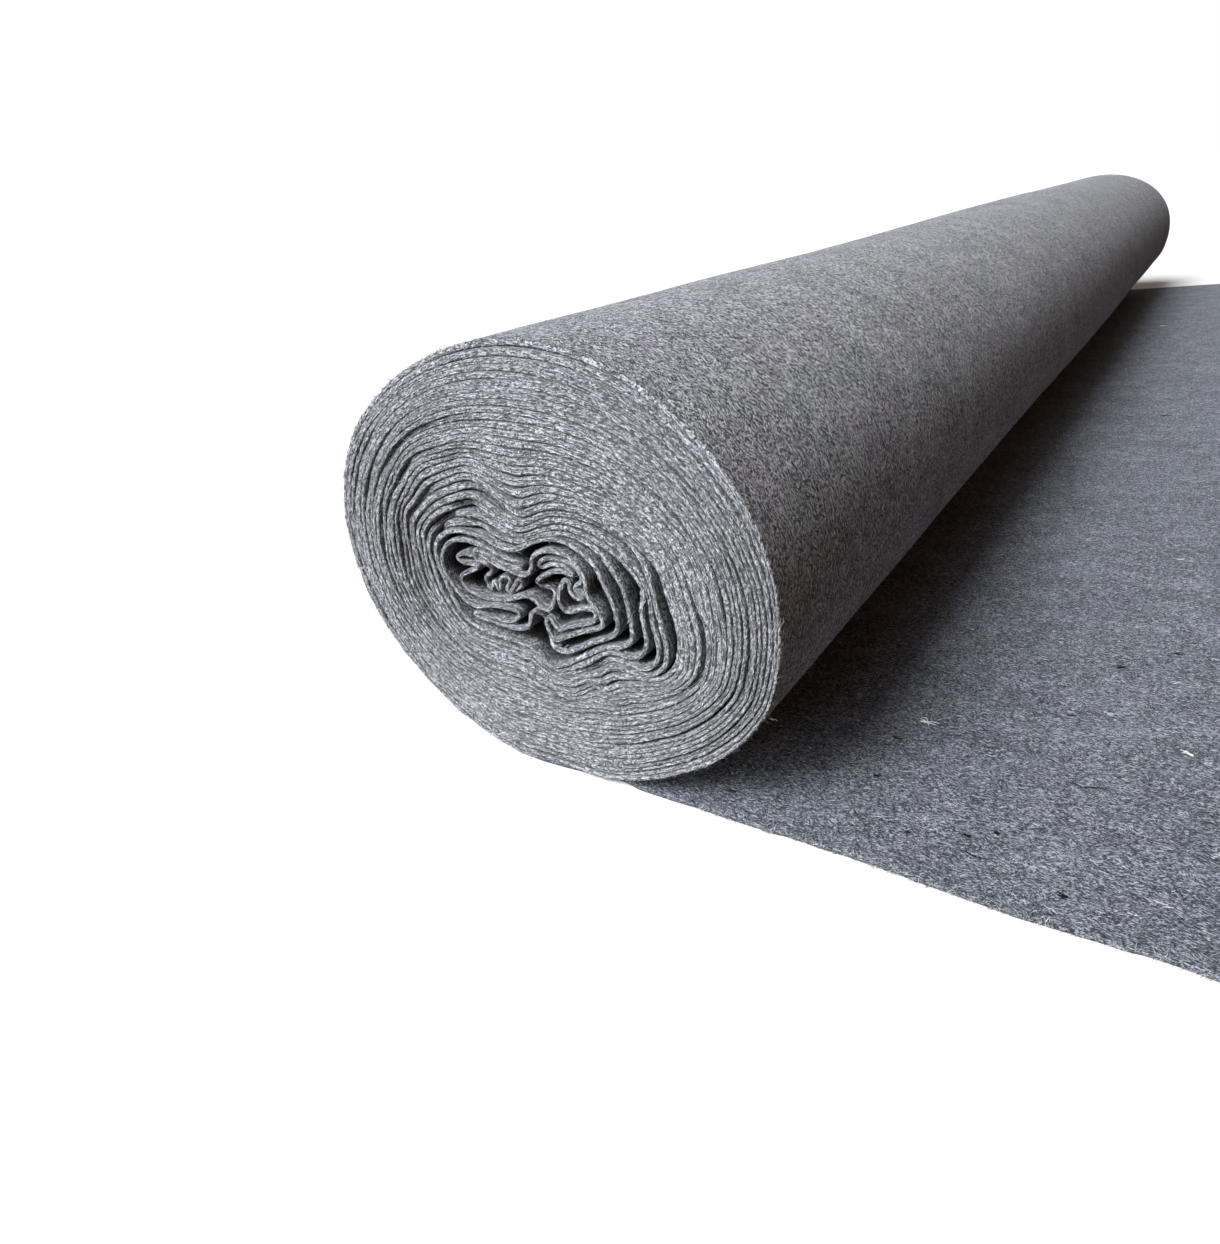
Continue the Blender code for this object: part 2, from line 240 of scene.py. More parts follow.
# How far in from the cut the felt looks lighter: where a turn covers its face, and elsewhere
WIDE_EDGE = 3.5 * MM
NARROW_EDGE = 1.0 * MM
# Where the grooves' painted shade ends, how high it gets lighter, and where painted shade in deep gaps
# starts
GROOVE_REACH = 1.2 * MM
GROOVE_HEIGHTS = (0.15, 0.23)
DEEP_FROM = 1.5 * MM
DEEP_TO = 8.5 * MM

# How uneven the cloth lies
NEAR_STRAYS = (
    # how many mm, how long the waves are in metres, and a seed
    (0.3, 0.023, 23), (0.25, 0.009, 24), (0.2, 0.0035, 25),
)
FAR_STRAYS = ((0.3, 0.02, 32), (0.15, 0.006, 33))
LOOSE_NEAR_STRAYS = ((1.4, 0.11, 51), (1.2, 0.03, 52), (0.4, 0.009, 53))
LOOSE_FAR_STRAYS = ((0.7, 0.1, 54), (0.35, 0.03, 55), (0.25, 0.007, 56))
LOOSE_CUT_STRAYS = ((1.2, 0.14, 60), (0.5, 0.02, 61))
# How far inside the cloth's full size the loose end's near, far and cut edges lie, in mm
LOOSE_NEAR_BACK = 3.4
LOOSE_FAR_BACK = 1.2
LOOSE_CUT_BACK = 1.8
LOOSE_LIFTS = ((1.1, 0.05, 62), (0.6, 0.017, 63))
LOOSE_BUMPS = (
    # mm high, how long the waves are in metres along the cloth and across it, and a seed
    (0.45, 0.08, 0.11, 57), (0.3, 0.025, 0.03, 58), (0.12, 0.006, 0.012, 59),
)
OUTER_BUMPS = ((0.45, 0.1, 0.16, 71), (0.2, 0.03, 0.05, 72), (0.16, 0.007, 0.011, 73))
OUTER_WAIST = (
    # metres from the near end, and how far the whole outer turn bulges out there, in mm
    (0.25, 0), (0.42, -1.6), (0.55, -1.2), (0.75, 0), (1, 1.4), (1.2, 1.6), (1.5, 0),
)

# Loose fibres are drawn as slivers about a quarter of a millimetre wide, so that they still show
FIBRE_HALF_WIDE = 0.12 * MM
FACE_FIBRES = 12500
RIM_FIBRES = 700
ROLL_FIBRES = 4200
SHEET_FIBRES = 2600
FRINGE_FIBRES = 1300
# Their lengths in mm, how far they turn from the cloth's length, and how steeply they stand out
FACE_LAY = ((1.0, 3.6), 0.5, 0.22)
RIM_LAY = ((1.2, 2.8), 1.2, 1.6)
SURFACE_LAY = ((1.2, 4.5), 0.8, 0.16)
FRINGE_LAY = ((1.0, 3.4), 1.2, 0.9)
LINT = (
    # x, y in mm on the loose end, how long, how many fibres, and their tone from black to white
    (177, -874, 6, 9, 1), (303, -851, 7, 3, 0.95), (299, -967, 4, 3, 0.9), (261, -990, 3, 3, 0.9),
    (215, -564, 5, 3, 0.9), (280, -588, 5, 3, 0.9), (263, -770, 4, 7, 0), (289, -742, 3, 6, 0),
    (245, -836, 2, 6, 0), (166, -896, 3, 9, 0), (103, -980, 3, 8, 0.05), (167, -934, 2, 7, 0),
    (194, -970, 2, 10, 0), (219, -960, 2, 9, 0), (231, -952, 2, 8, 0), (224, -972, 8, 2, 0),
    (260, -900, 11, 2, 0), (265, -980, 5, 4, 0), (330, -700, 3, 6, 0), (390, -820, 4, 6, 0),
    (352, -420, 5, 4, 1), (240, -150, 5, 6, 0), (310, 220, 6, 4, 1), (400, 640, 4, 6, 0),
    (190, 480, 5, 4, 1), (420, -930, 6, 4, 1), (370, -985, 3, 6, 0), (344, -600, 3, 6, 0),
)
LINT_HIGH = 3.7
# How many times as thick as the other fibres the clumps are, and the few single hairs
CLUMP_THICK = 3.4
HAIR_THICK = 2.2
TUFT_Y = -997.0
TUFT = (
    # x, z in mm where a few fibres stick out of the rim, how long, how many, tone
    (139, 71, 3, 4, 0.45), (-97, 145.5, 2, 6, 1),
)

# Camera and lights
CAMERA_PLACE = (0.2818, -1.2820, 0.2855)
# How far it looks to the right of the roll's axis, looks down, and is tilted, in radians
CAMERA_TURNS = (-0.6811, 0.4539, -0.1474)
SENSOR_WIDTH = 36.0
LENS = 23.136077
WORLD_COLOUR = "#ffffff"
LIGHTS = (
    # name, the way to the light, how many degrees it covers, strength, colour
    ("window", (-0.29, -0.85, 0.98), 28, 3.95, "#ffffff"),
    ("light from the left", (-0.8, -0.9, 0.6), 50, 1.0, "#ffffff"),
    ("fill from above", (0, 0, 1), 175, 0.13, "#fff0dc"),
    ("fill from the right", (1, -0.4, 0.15), 110, 0.19, "#ff9c38"),
    ("light from the front", (-0.12, -1, 0.5), 30, 1.1, "#ffffff"),
    ("fill from behind", (-0.4, 1, 0.35), 60, 0.5, "#ffffff"),
)


# Plain sums


def looked_up(table, at):
    """The second column of a table, read between the rows."""
    table = np.array(table)
    return np.interp(at, table[:, 0], table[:, 1])


def eased(share):
    """A share from 0 to 1 that starts and ends gently."""
    return share * share * (3 - 2 * share)


def steps_between(values, at):
    """A list's values at whole numbers, and smoothly blended ones between them."""
    at = np.asarray(at, float)
    first = np.floor(at).astype(int)
    share = eased(at - first).reshape(-1, *[1] * (values.ndim - 1))
    count = len(values)
    return values[first % count] * (1 - share) + values[(first + 1) % count] * share


def stray(distance, wave, seed):
    """An uneven line between -1 and 1, whose bumps are about as long as the wave."""
    values = np.random.default_rng(seed).uniform(-1, 1, 8192)
    return steps_between(values, np.asarray(distance) / wave)


def strays(distance, table):
    """The sum of a table's uneven lines."""
    return sum(high * stray(distance, wave, seed) for high, wave, seed in table)


def turn_by_turn(turns, waves_round, wave_turns, seed):
    """An uneven value between -1 and 1 that changes from turn to turn and slowly round each."""
    values = np.random.default_rng(seed).uniform(-1, 1, (64, waves_round))
    row, place = turns / wave_turns, turns % 1 * waves_round
    first, column = np.floor(row).astype(int), np.floor(place).astype(int)
    share, part = eased(row - first), eased(place - column)
    ends = [values[(first + k) % 64, column % waves_round] * (1 - part)
            + values[(first + k) % 64, (column + 1) % waves_round] * part for k in (0, 1)]
    return ends[0] * (1 - share) + ends[1] * share


def unevenness(along, across, table):
    """The sum of a table's uneven surfaces, at each pair of along and across."""
    total = 0
    for high, wave_along, wave_across, seed in table:
        values = np.random.default_rng(seed).uniform(-1, 1, (512, 512))
        rows = steps_between(values, np.asarray(along) / wave_along)
        total = total + high * steps_between(rows.T, np.asarray(across) / wave_across).T
    return total


def smooth_through(points, closed, steps=16):
    """A dense curve through the given points."""
    points = np.array(points, float)
    if closed:
        padded = np.vstack([points[-1:], points, points[:2]])
    else:
        padded = np.vstack([2 * points[0] - points[1], points, 2 * points[-1] - points[-2]])
    t = np.linspace(0, 1, steps, endpoint=False)[:, None]
    dense = []
    for a, b, c, d in zip(padded, padded[1:], padded[2:], padded[3:]):
        dense.append(0.5 * (2 * b + (c - a) * t + (2 * a - 5 * b + 4 * c - d) * t ** 2
                            + (3 * b - a - 3 * c + d) * t ** 3))
    return np.vstack(dense + [padded[-2:-1]])


def length_along(line):
    return np.concatenate([[0], np.cumsum(np.hypot(*np.diff(line[:, :2], axis=0).T))])


def spread(line, step):
    """The line's points again, evenly spaced by about the step."""
    length = length_along(line)
    at = np.linspace(0, length[-1], int(round(length[-1] / step)) + 1)
    return np.column_stack([np.interp(at, length, column) for column in line.T])


# The winding: x, z and turns from the rim, all along the cloth's middle line


def angle_at(place):
    return math.atan2(-AXIS_HIGH, LIFT_X) - 2 * math.pi * place


def rim_line(place):
    """The outermost turn, in mm. Place goes from 0 to 1, clockwise from the bottom."""
    across, up = np.cos(angle_at(place)), np.sin(angle_at(place))
    wide = np.where(across > 0, RIM_RIGHT, RIM_LEFT)
    high = np.where(up > 0, RIM_UP, RIM_DOWN)
    radius = 1 / np.hypot(across / wide, up / high) + looked_up(RIM_FORM, place % 1)
    to_floor = (FLOOR_LINE - AXIS_HIGH) / np.minimum(up, -1e-6)
    radius = np.where(up < 0, np.minimum(radius, to_floor), radius)
    return np.column_stack([radius * across, AXIS_HIGH + radius * up])


def oval_line(place):
    x, z, wide, high = CORE_OVAL
    return np.column_stack([x + wide * np.cos(angle_at(place)), z + high * np.sin(angle_at(place))])


def core_line(place):
    ring = smooth_through(CORE_RING, True)
    share = length_along(ring)
    share /= share[-1]
    return np.column_stack([np.interp(place, share, column) for column in ring.T])


def end_form(turn):
    """How far back the near end lies after that many turns from the rim, in mm, without its strays."""
    lean = LEAN_BACK * looked_up(LEANING, turn % 1) * np.clip(1 - turn / 10, 0, 1) ** 1.6
    return looked_up(END_PROFILE, turn) + lean


def turn_line(turn):
    """Where the cloth lies, in metres, after that many turns from the rim."""
    place = turn % 1
    even = turn / FULL_TURNS
    crowd = looked_up(CROWDING, place)
    level = even + crowd * (even ** looked_up(CROWD_POWERS, place) - even)
    fade = np.clip(np.minimum(turn - 0.8, FULL_TURNS - 0.8 - turn), 0, 1)
    uneven = looked_up(UNEVEN_SPACING, place) * turn_by_turn(turn, 7, 0.9, 5)
    level = level + fade * uneven / FULL_TURNS
    level = level[:, None]
    oval = oval_line(place)
    line = rim_line(place) * (1 - level) + oval * level + (core_line(place) - oval) * level ** CORE_GRIP
    hold = np.minimum(1, 9 * level * (1 - level))
    moved = line.copy()
    for x, z, push_x, push_z, reach in DENTS:
        away = np.hypot(line[:, 0] - x, line[:, 1] - z)[:, None] / reach
        moved += np.array([push_x, push_z]) * hold * np.exp(-away ** 2)
    behind = (end_form(turn) - SEEN_PLANE) * np.clip(turn / 8, 0, 1)
    return (moved - behind[:, None] * SEEN_SHIFT) * MM


def settle(line, wall, free):
    """Push the crushed cloth's strands apart until each pair has its clearance."""
    start = line.copy()
    index = np.arange(len(line))
    never = np.full(len(wall), -len(line))
    own = np.abs(index[:, None] - np.append(index, never)) <= int(2.2 * STRAND_CLEAR / SETTLE_STEP)
    for _ in range(SETTLE_ROUNDS):
        gap = line[:, None] - np.vstack([line, wall])[None]
        far = np.hypot(gap[..., 0], gap[..., 1])
        far[own] = 1
        close = np.maximum(STRAND_CLEAR - far, 0) / np.maximum(far, 1e-6)
        push = (gap * close[..., None]).sum(1) * GIVE_WAY
        size = np.hypot(*push.T)[:, None]
        push *= np.minimum(1, FURTHEST_MOVE / np.maximum(size, 1e-9))
        bend = np.zeros_like(line)
        bend[1:-1] = (line[2:] + line[:-2]) / 2 - line[1:-1]
        line = line + (push + bend * KEEP_STRAIGHT + (start - line) * KEEP_PLACE) * free[:, None]
    return line


def whole_winding():
    """Rows of x, z, turns from the rim and the core's extra depth, from the rim inward."""
    turns = np.linspace(0, LAST_TURN, SPIRAL_POINTS)
    spiral = spread(np.column_stack([turn_line(turns), turns]), SETTLE_STEP)
    crushed = smooth_through(CRUSHED, False)
    crushed[:, 2] = (crushed[:, 2] - USUAL_BACK) * CORE_DEPTH
    behind = END_PROFILE[-1][1] + crushed[:, 2] - SEEN_PLANE
    crushed[:, :2] = (crushed[:, :2] - behind[:, None] * SEEN_SHIFT) * MM
    crushed = spread(crushed, SETTLE_STEP)
    tail, spiral = spiral[-JOIN_POINTS:], spiral[:-JOIN_POINTS]
    wall = spiral[-int(WALL_LONG / SETTLE_STEP):, :2]
    joined = np.vstack([tail[:, :2], crushed[:, :2]])
    free = np.ones(len(joined))
    free[:JOIN_POINTS] = np.linspace(0, 1, JOIN_POINTS) ** 2
    joined = settle(joined, wall, free)
    after = LAST_TURN + length_along(crushed) / CORE_TURN
    turns = np.concatenate([spiral[:, 2], tail[:, 2], after])
    deeper = np.concatenate([np.zeros(len(spiral) + len(tail)), crushed[:, 2]])
    return np.column_stack([np.vstack([spiral[:, :2], joined]), turns, deeper])


def half_thickness(line):
    """Half the room that each point of the winding has between its neighbours, up to the felt's own."""
    step = length_along(line)[-1] / (len(line) - 1)
    skip = int(SAME_STRAND / step)
    points = line[:, :2].astype(np.float32)
    nearest = np.empty(len(points), np.float32)
    for first in range(0, len(points), 400):
        rows = np.arange(first, min(first + 400, len(points)))
        gap = np.hypot(points[rows, None, 0] - points[None, :, 0],
                       points[rows, None, 1] - points[None, :, 1])
        gap[np.abs(rows[:, None] - np.arange(len(points))[None]) <= skip] = 1
        nearest[rows] = gap.min(1)
    turns = line[:, 2]
    loose = looked_up(LOOSE_PLACES, turns % 1) * np.interp(turns, LOOSE_TURNS, (0, 1))
    loose[turns > LAST_TURN] = 0
    most = looked_up(LOOSENESS, turns) * (1 - loose) + LOOSE_HALF * loose
    half = np.clip((nearest - LAYER_GAP) / 2, LEAST_HALF_THICK, most * MM)
    padded = np.pad(half, 3, "edge")
    return sum(padded[k:k + len(half)] for k in range(7)) / 7


# Cloth from its middle line


def section_stations(inner_rows, outer_rows):
    """Once round the cloth's cross-section: distance from the near end, and the side from -1 to 1.

    It starts at the near edge's inner corner, goes over that edge, along the outer face to the
    far edge, over it, and back along the inner face."""
    near = [(inset * MM, side) for inset, side in NEAR_EDGE]
    far = [(CLOTH_WIDTH - inset * MM, side) for inset, side in FAR_EDGE]
    outer = [(place, 1.0) for place in outer_rows]
    inner = [(place, -1.0) for place in inner_rows][::-1]
    return np.array(near + outer + far + inner)


def sheet_rows(places, stations, half, near_back, far_back, rounding=None, parting=0):
    """Points of the cloth: one row for each place along it, one column for each station."""
    tangent = np.gradient(places[:, :2], axis=0)
    tangent /= np.hypot(*tangent.T)[:, None]
    normal = np.column_stack([-tangent[:, 1], tangent[:, 0]])
    share = stations[:, 0] / CLOTH_WIDTH
    y = stations[None, :, 0] - CLOTH_WIDTH / 2
    y = y + near_back[:, None] * (1 - share) - far_back[:, None] * share
    if rounding is not None:
        edge = len(NEAR_EDGE)
        y[:, :edge] += (rounding[:, None] - 1) * stations[None, :edge, 0]
        y[:, edge // 2] += parting
    out = half[:, None] * stations[None, :, 1]
    points = np.empty((len(places), len(stations), 3))
    points[..., 0] = places[:, 0, None] + normal[:, 0, None] * out
    points[..., 1] = y
    points[..., 2] = places[:, 1, None] + normal[:, 1, None] * out
    return points, normal


def new_object(name, data):
    thing = bpy.data.objects.new(name, data)
    bpy.context.scene.collection.objects.link(thing)
    return thing


def new_piece(name, mesh, material):
    mesh.materials.append(material)
    piece = new_object(name, mesh)
    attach(piece, "root")
    return piece


def read_points(mesh):
    points = np.empty(len(mesh.vertices) * 3, np.float32)
    mesh.vertices.foreach_get("co", points)
    return points.reshape(-1, 3)


def add_value(mesh, name, values):
    """One value for each vertex, which the material reads by its name."""
    mesh.attributes.new(name, "FLOAT", "POINT").data.foreach_set("value", values.astype(np.float32))


def shade_values(points, stations, inner_groove, outer_groove):
    """How much each place is a cut edge, and its painted shade in a groove and deep between two turns."""
    from_end = np.minimum(stations[:, 0], CLOTH_WIDTH - stations[:, 0])
    grooves = np.where(stations[:, 1] > 0, outer_groove, inner_groove)
    covered = grooves == 1
    edge = np.clip(1 - from_end / np.where(covered, WIDE_EDGE, NARROW_EDGE), 0, 1)
    corners = np.clip((np.abs(stations[:, 1]) - 0.45) / 0.35, 0, 1) * grooves * (from_end < GROOVE_REACH)
    # Painted shade where the cut edges touch, stronger low down, as if each lay in the shade of the one
    # above
    groove = np.interp(points[:, 0, 2], GROOVE_HEIGHTS, (1.0, 0.6))[:, None] * corners
    # Painted shade also where a cut edge opens along its middle
    middle = len(NEAR_EDGE) // 2
    parted = points[:, middle, 1] - (points[:, middle - 1, 1] + points[:, middle + 1, 1]) / 2
    groove[:, middle] += np.clip(parted / PARTED_DARK, 0, 1)
    # Painted shade on the faces a turn covers, darker further in from the cut
    deep = np.clip((from_end - DEEP_FROM) / (DEEP_TO - DEEP_FROM), 0, 1) * covered
    return {"edge": edge * np.where(covered, 1, 0.3), "groove": groove, "deep": deep}


def cloth_piece(name, points, along, stations, material, inner_groove, outer_groove):
    """A closed skin over rows of points, each row once round the cloth.

    The grooves say how much painted shade each side's cut edge gets, mostly by how closely it lies
    against the next turn: 1 is right against it, and the felt's face on that side is painted dark too."""
    rows, columns = points.shape[:2]
    bm = bmesh.new()
    bmesh.ops.create_grid(bm, x_segments=columns, y_segments=rows - 1, size=1)
    mesh = bpy.data.meshes.new(name)
    bm.to_mesh(mesh)
    grid = read_points(mesh)
    column = np.rint((grid[:, 0] + 1) / 2 * columns).astype(int)
    row = np.rint((grid[:, 1] + 1) / 2 * (rows - 1)).astype(int)
    mesh.vertices.foreach_set("co", points[row, column % columns].astype(np.float32).ravel())

    around = np.hypot(np.diff(stations[:, 0], append=stations[0, 0]),
                      np.diff(stations[:, 1], append=stations[0, 1]) * HALF_THICK)
    around = np.concatenate([[0], np.cumsum(around)])
    corner = np.empty(len(mesh.loops), np.int32)
    mesh.loops.foreach_get("vertex_index", corner)
    pattern = np.column_stack([along[row[corner]], around[column[corner]]])
    mesh.uv_layers.new(name="cloth").data.foreach_set("uv", pattern.astype(np.float32).ravel())
    for key, value in shade_values(points, stations, inner_groove, outer_groove).items():
        add_value(mesh, key, np.broadcast_to(value, (rows, columns))[row, column % columns])

    bm.clear()
    bm.from_mesh(mesh)
    bm.verts.ensure_lookup_table()
    seam = [bm.verts[i] for i in np.flatnonzero((column == 0) | (column == columns))]
    bmesh.ops.remove_doubles(bm, verts=seam, dist=1e-7)
    bmesh.ops.holes_fill(bm, edges=[e for e in bm.edges if e.is_boundary], sides=0)
    bmesh.ops.recalc_face_normals(bm, faces=bm.faces)
    bm.to_mesh(mesh)
    bm.free()
    mesh.shade_smooth()
    return new_piece(name, mesh, material)


def near_end_back(turns, metres):
    """How far back each place of the winding stands at the near end."""
    whole = end_form(turns)
    for ring, place, back, ring_reach, place_reach in RECESSES:
        from_place = (turns - place + 0.5) % 1 - 0.5
        from_ring = turns - place - from_place - ring
        whole = whole + back * np.exp(-(from_place / place_reach) ** 2 - (from_ring / ring_reach) ** 2)
    # Groups of turns stand back together, more so further in and towards the floor
    fade = np.clip(turns / 1.5, 0.25, 1)
    low = 1 + 0.5 * np.cos(2 * math.pi * (turns + 0.02))
    groups = looked_up(GROUP_BACK, turns) * np.maximum(turn_by_turn(turns, 5, 1.9, 21), 0) ** 1.6
    single = SINGLE_BACK * turn_by_turn(turns, 9, 0.9, 22)
    return (whole + fade * low * (groups + single) + strays(metres, NEAR_STRAYS) + NEAR_BACK) * MM


def near_rounding(turns, metres):
    """How much the near cut edge is rounded: most at the rim, and unevenly inside."""
    rim = looked_up(RIM_ROUNDING, turns)
    inside = 1.25 + 0.7 * turn_by_turn(turns, 11, 0.8, 26) + 0.4 * stray(metres, 0.011, 27)
    return np.maximum(rim, np.maximum(inside, 0.2) * looked_up(ROUNDING, turns % 1))


def near_parting(turns):
    """How far the near cut edge opens between the felt's two faces."""
    uneven = 0.65 + 0.5 * turn_by_turn(turns, 9, 0.8, 28)
    return looked_up(PARTING, turns % 1) * np.maximum(uneven, 0) * np.clip(turns - 0.8, 0, 1) * MM


def far_end_back(turns, metres):
    whole = 1.5 + 1.1 * np.sin(turns * 0.55) + 0.5 * stray(turns, 0.9, 31)
    return (whole + strays(metres, FAR_STRAYS)) * MM


def fibrous(shape, stations, at, seed):
    """Rough shifts of the near cut edge's points."""
    shift = np.random.default_rng(seed).uniform(-1, 1, shape) * ROUGH
    for column in range(len(NEAR_EDGE)):
        shift[:, column, 1] += ROUGH_ALONG * stray(at, ROUGH_WAVE, seed + 7 * column + 1)
    fading = np.clip(1 - stations[:, 0] / ROUGH_REACH, 0, 1)[:, None]
    return shift * MM * np.array(ROUGH_WAYS) * fading


def stretch(winding, half, first, last, step):
    """The winding from one turn to another: metres along it, its places, and half its thickness."""
    metres = length_along(winding)
    start, end = np.interp([first, last], winding[:, 2], metres)
    at = np.linspace(start, end, int((end - start) / step) + 1)
    places = np.column_stack([np.interp(at, metres, column) for column in winding.T])
    return at, places, np.interp(at, metres, half)


def wound_piece(name, winding, half, first, last, step, stations, material):
    """A stretch of the winding as its own skin."""
    at, places, thick = stretch(winding, half, first, last, step)
    # Each stretch starts inside the end of the one before, a little thinner than it
    thick[0] *= 0.8
    thick[-1] *= 0.9
    near = near_end_back(places[:, 2], at) + places[:, 3] * MM
    near[0] += 0.4 * MM
    far = far_end_back(places[:, 2], at)
    points, _ = sheet_rows(places, stations, thick, near, far, near_rounding(places[:, 2], at),
                           near_parting(places[:, 2]))
    points += fibrous(points.shape, stations, at, int(first * 10) + 40)
    piece = cloth_piece(name, points, at, stations, material, 1, 1)
    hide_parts("roll")
    return points


# Loose fibres


def strewn(points, rows, columns, count, rng):
    """Random spots on a stretch of a piece's surface: place, along the cloth, across it, and out."""
    row = rng.uniform(rows[0], rows[1] - 0.001, count)
    column = rng.uniform(columns[0], columns[1] - 0.001, count)
    first, side = row.astype(int), column.astype(int)
    corner = points[first, side]
    along = points[first + 1, side] - corner
    across = points[first, side + 1] - corner
    at = corner + along * (row - first)[:, None] + across * (column - side)[:, None]
    out = np.cross(along, across)
    out /= np.linalg.norm(out, axis=1)[:, None] + 1e-12
    along /= np.linalg.norm(along, axis=1)[:, None] + 1e-12
    return np.stack([at, along, np.cross(out, along), out])


def laid_fibres(spots, lengths, wander, lift, rng):
    """Each fibre's root, its run to the head, and how far its middle bows out of the straight."""
    at, along, across, out = spots
    angle = rng.normal(0, wander, len(at)) + math.pi * rng.integers(0, 2, len(at))
    long = (lengths[0] + (lengths[1] - lengths[0]) * rng.uniform(0, 1, len(at)) ** 2)[:, None] * MM
    rise = rng.uniform(0, lift, len(at))[:, None]
    way = along * np.cos(angle)[:, None] + across * np.sin(angle)[:, None]
    sideways = along * -np.sin(angle)[:, None] + across * np.cos(angle)[:, None]
    bow = sideways * rng.normal(0, 0.14, len(at))[:, None] + out * rng.uniform(0.02, 0.14, len(at))[:, None]
    return at - out * 0.1 * MM, (way + out * rise) * long, bow * long


def sliver_copies(count):
    """A mesh of equal three-sided slivers that narrow towards the head and can bend in the middle."""
    bm = bmesh.new()
    bmesh.ops.create_cone(bm, cap_ends=True, segments=3, radius1=1.0, radius2=0.4, depth=1.0,
                          matrix=Matrix.Translation((0, 0, 0.5)))
    long = [edge for edge in bm.edges if abs(edge.verts[0].co.z - edge.verts[1].co.z) > 0.5]
    bmesh.ops.subdivide_edges(bm, edges=long, cuts=1)
    mesh = bpy.data.meshes.new("sliver")
    bm.to_mesh(mesh)
    bm.free()
    sliver = new_object("sliver", mesh)
    copies = sliver.modifiers.new("copies", "ARRAY")
    copies.count = count
    copies.use_relative_offset = False
    evaluated = sliver.evaluated_get(bpy.context.evaluated_depsgraph_get())
    made = bpy.data.meshes.new_from_object(evaluated)
    bpy.data.objects.remove(sliver)
    return made


def fibre_piece(name, fibres, tones, half_wide, material):
    """One piece of many loose fibres, each between its root and its head."""
    root, run, bow = fibres
    mesh = sliver_copies(len(root))
    local = read_points(mesh).reshape(len(root), -1, 3)
    ahead = run / np.linalg.norm(run, axis=1)[:, None]
    side = np.cross(ahead, (0.31, 0.17, 0.93))
    side /= np.linalg.norm(side, axis=1)[:, None]
    other = np.cross(ahead, side)
    share = local[..., 2:3]
    points = root[:, None] + run[:, None] * share + bow[:, None] * 4 * share * (1 - share)
    points += (side[:, None] * local[..., 0:1] + other[:, None] * local[..., 1:2]) * half_wide[:, None, None]
    mesh.vertices.foreach_set("co", points.astype(np.float32).ravel())
    add_value(mesh, "tone", np.repeat(tones, local.shape[1]))
    mesh.update()
    return new_piece(name, mesh, material)


def together(*lots):
    return [np.vstack(parts) for parts in zip(*lots)]


def mixed_tones(count, rng):
    """Mostly light and dark fibres, and some of the cloth's own grey."""
    kind = rng.uniform(0, 1, count)
    tones = np.where(kind < 0.36, 0.10, np.where(kind < 0.55, 0.5, 0.86))
    return np.clip(tones + rng.normal(0, 0.07, count), 0, 1)


def clumps(spots, rng):
    """Fibres for a list of spots, each with its length in mm, number of fibres and tone."""
    placed, tones = [], []
    for at, along, across, out, long, number, tone in spots:
        jitter = rng.normal(0, 0.5 * MM, (number, 1)) * along
        jitter = jitter + rng.normal(0, 0.35 * MM, (number, 1)) * across
        spot = np.stack([at + jitter] + [np.full((number, 3), way) for way in (along, across, out)])
        placed.append(laid_fibres(spot, (0.7 * long, 1.1 * long), 0.35, 0.12, rng))
        tones.append(np.full(number, tone))
    return together(*placed), np.concatenate(tones)


# Materials


def linear(shade):
    """An sRGB hex colour as linear light, with full opacity."""
    parts = [int(shade[i:i + 2], 16) / 255 for i in (1, 3, 5)]
    return [c / 12.92 if c <= 0.04045 else ((c + 0.055) / 1.055) ** 2.4 for c in parts] + [1.0]


def fill(tree, node, inputs):
    """Give a node's inputs a number, a colour or another node's output."""
    for key, value in inputs.items():
        if isinstance(value, bpy.types.NodeSocket):
            tree.links.new(value, node.inputs[key])
        else:
            node.inputs[key].default_value = value


def add_node(tree, kind, inputs=None, out=0, stops=(), **settings):
    """Add a node with its settings, colour stops and inputs, and return one of its outputs."""
    made = tree.nodes.new("ShaderNode" + kind)
    for key, value in settings.items():
        setattr(made, key, value)
    if stops:
        elements = made.color_ramp.elements
        elements[0].position, elements[1].position = stops[0][0], stops[-1][0]
        for place, _ in stops[1:-1]:
            elements.new(place)
        for element, (_, shade) in zip(elements, stops):
            element.color = linear(shade)
    fill(tree, made, inputs or {})
    return made.outputs[out]


def strands(tree, place, angle, long_mm, wide_mm, shift, finer, rough=0.5):
    """Noise drawn out into strands at an angle to the cloth's length."""
    turned = add_node(tree, "Mapping", {"Vector": place, "Rotation": (0, 0, math.radians(angle))})
    drawn_out = add_node(tree, "Mapping", {
        "Vector": turned, "Location": shift, "Scale": (1000.0 / long_mm, 1000.0 / wide_mm, 1.0)})
    return add_node(tree, "TexNoise", {
        "Vector": drawn_out, "Scale": 1.0, "Detail": finer, "Roughness": rough})


def new_material(name):
    material = bpy.data.materials.new(name)
    material.use_nodes = True
    return material, material.node_tree, material.node_tree.nodes["Principled BSDF"]


EDGE_LAYERS = 0.65
EDGE_COVER = 0.16
EDGE_SHADE = "#c6c9ce"
GROOVE_SHADE = "#2c2e32"
DEEP_SHADE = "#1b1d22"
DEEP_COVER = 0.85
BUMP_HEIGHT = 1.7 * MM
